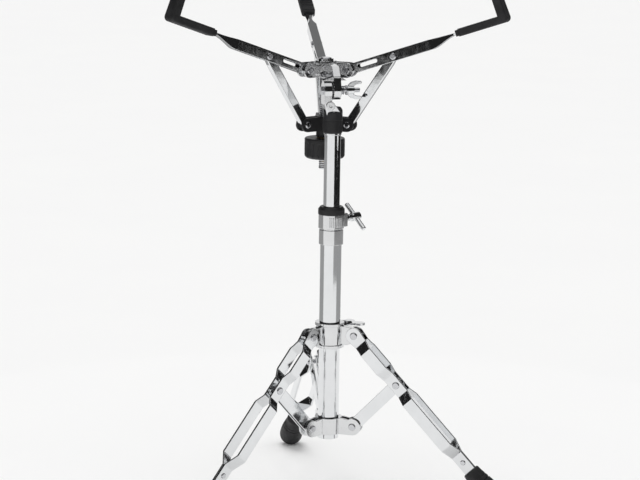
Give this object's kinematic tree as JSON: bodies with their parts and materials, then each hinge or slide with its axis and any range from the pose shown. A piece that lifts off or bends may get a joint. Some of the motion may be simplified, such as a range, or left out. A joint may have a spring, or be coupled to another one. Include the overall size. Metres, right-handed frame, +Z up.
{
  "type": "snare drum stand",
  "caption": "Chrome stand with a folding braced tripod, a sliding height tube, a ratchet tilter and a three-arm basket with rubber grips that cradles a snare drum.",
  "frame": {"origin": "on the floor under the axis of the upright tube", "axes": "+Z up along the upright tube, +Y towards the rear leg and the basket axis, +X to the side the wing nut is on"},
  "size_m": [0.4547, 0.4338, 0.7146],
  "materials": {
    "chrome": "bright plated steel",
    "cast_chrome": "plated die casting, slightly softer than the tubes",
    "steel": "zinc plated",
    "brass": "turned",
    "black_plastic": "satin moulded",
    "nylon": "plain moulded",
    "grip_rubber": "soft matt",
    "foot_rubber": "matt, scuffed underneath"
  },
  "bodies": {
    "base": {"lower_tube": "chrome", "leg_hub": "cast_chrome", "hub_rivets": "steel", "height_clamp": "cast_chrome", "clamp_bushing": "black_plastic"},
    "strut_right": {"strut_right_front_strip": "chrome", "strut_right_back_strip": "chrome"},
    "leg_right": {"leg_right_front_strip": "chrome", "leg_right_back_strip": "chrome", "leg_right_rivets": "steel", "leg_right_foot": "foot_rubber"},
    "strut_rear": {"strut_rear_front_strip": "chrome", "strut_rear_back_strip": "chrome"},
    "leg_rear": {"leg_rear_front_strip": "chrome", "leg_rear_back_strip": "chrome", "leg_rear_rivets": "steel", "leg_rear_foot": "foot_rubber"},
    "strut_left": {"strut_left_front_strip": "chrome", "strut_left_back_strip": "chrome"},
    "leg_left": {"leg_left_front_strip": "chrome", "leg_left_back_strip": "chrome", "leg_left_rivets": "steel", "leg_left_foot": "foot_rubber"},
    "collar": {"leg_collar": "cast_chrome", "collar_rivets": "steel"},
    "collar_pad": {"collar_pad": "brass"},
    "collar_bolt": {"collar_wing_bolt": "chrome"},
    "glide": {"tube_glide": "nylon"},
    "mast": {"upper_tube": "chrome", "tube_cap": "black_plastic", "tilter_base": "cast_chrome", "tilter_bolt": "steel"},
    "clamp_pad": {"clamp_pad": "brass"},
    "clamp_handle": {"clamp_bolt": "chrome", "clamp_crossbar": "chrome"},
    "tilt_washer": {"tilter_washer": "steel", "tilter_spring": "steel"},
    "wing_nut": {"tilter_wing_nut": "chrome"},
    "basket": {"tilter_head": "cast_chrome", "flange_screws": "steel", "basket_hub": "cast_chrome", "basket_rod": "steel", "hub_arm_rivets": "steel"},
    "arm_right": {"arm_right": "chrome", "arm_right_rivet": "steel", "grip_right": "grip_rubber"},
    "brace_right": {"brace_right": "chrome"},
    "arm_rear": {"arm_rear": "chrome", "arm_rear_rivet": "steel", "grip_rear": "grip_rubber"},
    "brace_rear": {"brace_rear": "chrome"},
    "arm_left": {"arm_left": "chrome", "arm_left_rivet": "steel", "grip_left": "grip_rubber"},
    "brace_left": {"brace_left": "chrome"},
    "spider": {"spider": "black_plastic", "spider_rivets": "steel"},
    "knob": {"basket_knob": "black_plastic", "knob_insert": "brass"}
  },
  "joints": [
    {"name": "tripod_fold", "type": "hinge", "parent": "base", "child": "strut_right", "pos_m": [0.03118, -0.018, 0.0955], "axis": [-0.5, -0.866, 0], "range_deg": [-6, 34]},
    {"name": "leg_right_hinge", "type": "hinge", "parent": "strut_right", "child": "leg_right", "pos_m": [0.08364, -0.04829, 0.15933], "axis": [-0.5, -0.866, 0], "range_deg": [-69, 13]},
    {"name": "collar_hinge", "type": "hinge", "parent": "leg_right", "child": "collar", "pos_m": [0.03118, -0.018, 0.22317], "axis": [-0.5, -0.866, 0], "range_deg": [-6.5, 34.5]},
    {"name": "leg_rear_hinge", "type": "hinge", "parent": "collar", "child": "leg_rear", "pos_m": [0, 0.036, 0.22317], "axis": [1, 0, 0], "range_deg": [-34.5, 6.5]},
    {"name": "strut_rear_hinge", "type": "hinge", "parent": "leg_rear", "child": "strut_rear", "pos_m": [0, 0.09658, 0.15933], "axis": [1, 0, 0], "range_deg": [-13, 69]},
    {"name": "leg_left_hinge", "type": "hinge", "parent": "collar", "child": "leg_left", "pos_m": [-0.03118, -0.018, 0.22317], "axis": [-0.5, 0.866, 0], "range_deg": [-34.5, 6.5]},
    {"name": "strut_left_hinge", "type": "hinge", "parent": "leg_left", "child": "strut_left", "pos_m": [-0.08364, -0.04829, 0.15933], "axis": [-0.5, 0.866, 0], "range_deg": [-13, 69]},
    {"name": "collar_pad_slide", "type": "slide", "parent": "collar", "child": "collar_pad", "axis": [0.866, 0.5, 0], "range_m": [0, 0.002]},
    {"name": "collar_bolt_turn", "type": "hinge", "parent": "collar_pad", "child": "collar_bolt", "pos_m": [0.02598, 0.015, 0.231], "axis": [0.866, 0.5, 0], "range_deg": [-5, 725]},
    {"name": "height_slide", "type": "slide", "parent": "base", "child": "glide", "axis": [0, 0, 1], "range_m": [-0.035, 0.1]},
    {"name": "mast_swivel", "type": "hinge", "parent": "glide", "child": "mast", "pos_m": [0, 0, 0.3], "axis": [0, 0, 1], "continuous": true},
    {"name": "clamp_pad_slide", "type": "slide", "parent": "base", "child": "clamp_pad", "axis": [0.866, 0.5, 0], "range_m": [0, 0.00301]},
    {"name": "clamp_handle_turn", "type": "hinge", "parent": "clamp_pad", "child": "clamp_handle", "pos_m": [0.03464, 0.02, 0.3795], "axis": [0.866, 0.5, 0], "range_deg": [0, 720]},
    {"name": "tilt_washer_slide", "type": "slide", "parent": "mast", "child": "tilt_washer", "axis": [1, 0, 0], "range_m": [0, 0.00251]},
    {"name": "wing_nut_turn", "type": "hinge", "parent": "tilt_washer", "child": "wing_nut", "pos_m": [0.025, 0, 0.556], "axis": [1, 0, 0], "range_deg": [0, 720]},
    {"name": "tilt", "type": "hinge", "parent": "mast", "child": "basket", "pos_m": [0, 0, 0.556], "axis": [1, 0, 0], "range_deg": [0, 60]},
    {"name": "spider_slide", "type": "slide", "parent": "basket", "child": "spider", "axis": [0, 0, 1], "range_m": [-0.006, 0.014]},
    {"name": "arm_right_hinge", "type": "hinge", "parent": "basket", "child": "arm_right", "pos_m": [0.02687, 0.02584, 0.58], "axis": [-0.5807, -0.8141, 0], "range_deg": [-8.08, 18.2]},
    {"name": "brace_right_hinge", "type": "hinge", "parent": "arm_right", "child": "brace_right", "pos_m": [0.07998, -0.01205, 0.60246], "axis": [-0.5807, -0.8141, 0], "range_deg": [-13.14, 5.92]},
    {"name": "arm_rear_hinge", "type": "hinge", "parent": "basket", "child": "arm_rear", "pos_m": [0.00316, 0.07785, 0.58], "axis": [0.9954, -0.0958, 0], "range_deg": [-8.08, 18.2]},
    {"name": "brace_rear_hinge", "type": "hinge", "parent": "arm_rear", "child": "brace_rear", "pos_m": [0.00942, 0.14279, 0.60246], "axis": [0.9954, -0.0958, 0], "range_deg": [-13.14, 5.92]},
    {"name": "arm_left_hinge", "type": "hinge", "parent": "basket", "child": "arm_left", "pos_m": [-0.03003, 0.03132, 0.58], "axis": [-0.4147, 0.91, 0], "range_deg": [-8.08, 18.2]},
    {"name": "brace_left_hinge", "type": "hinge", "parent": "arm_left", "child": "brace_left", "pos_m": [-0.0894, 0.00426, 0.60246], "axis": [-0.4147, 0.91, 0], "range_deg": [-13.14, 5.92]},
    {"name": "knob_turn", "type": "hinge", "parent": "spider", "child": "knob", "pos_m": [0, 0.045, 0.47], "axis": [0, 0, 1], "range_deg": [-869, 2021]}
  ],
  "couplings": [
    {"joint": "leg_right_hinge", "follows": "tripod_fold", "ratio": -2},
    {"joint": "collar_hinge", "follows": "tripod_fold", "ratio": 1},
    {"joint": "leg_rear_hinge", "follows": "tripod_fold", "ratio": -1},
    {"joint": "strut_rear_hinge", "follows": "tripod_fold", "ratio": 2},
    {"joint": "leg_left_hinge", "follows": "tripod_fold", "ratio": -1},
    {"joint": "strut_left_hinge", "follows": "tripod_fold", "ratio": 2},
    {"joint": "collar_bolt_turn", "follows": "collar_pad_slide", "rad_per_m": 6283.2},
    {"joint": "clamp_pad_slide", "follows": "clamp_handle_turn", "m_per_rad": 0.00023873},
    {"joint": "tilt_washer_slide", "follows": "wing_nut_turn", "m_per_rad": 0.00019894},
    {"joint": "arm_right_hinge", "follows": "spider_slide", "rad_per_m": 22.063},
    {"joint": "brace_right_hinge", "follows": "spider_slide", "rad_per_m": -15.755},
    {"joint": "arm_rear_hinge", "follows": "spider_slide", "rad_per_m": 22.063},
    {"joint": "brace_rear_hinge", "follows": "spider_slide", "rad_per_m": -15.755},
    {"joint": "arm_left_hinge", "follows": "spider_slide", "rad_per_m": 22.063},
    {"joint": "brace_left_hinge", "follows": "spider_slide", "rad_per_m": -15.755},
    {"joint": "knob_turn", "follows": "spider_slide", "rad_per_m": 2513.3}
  ]
}
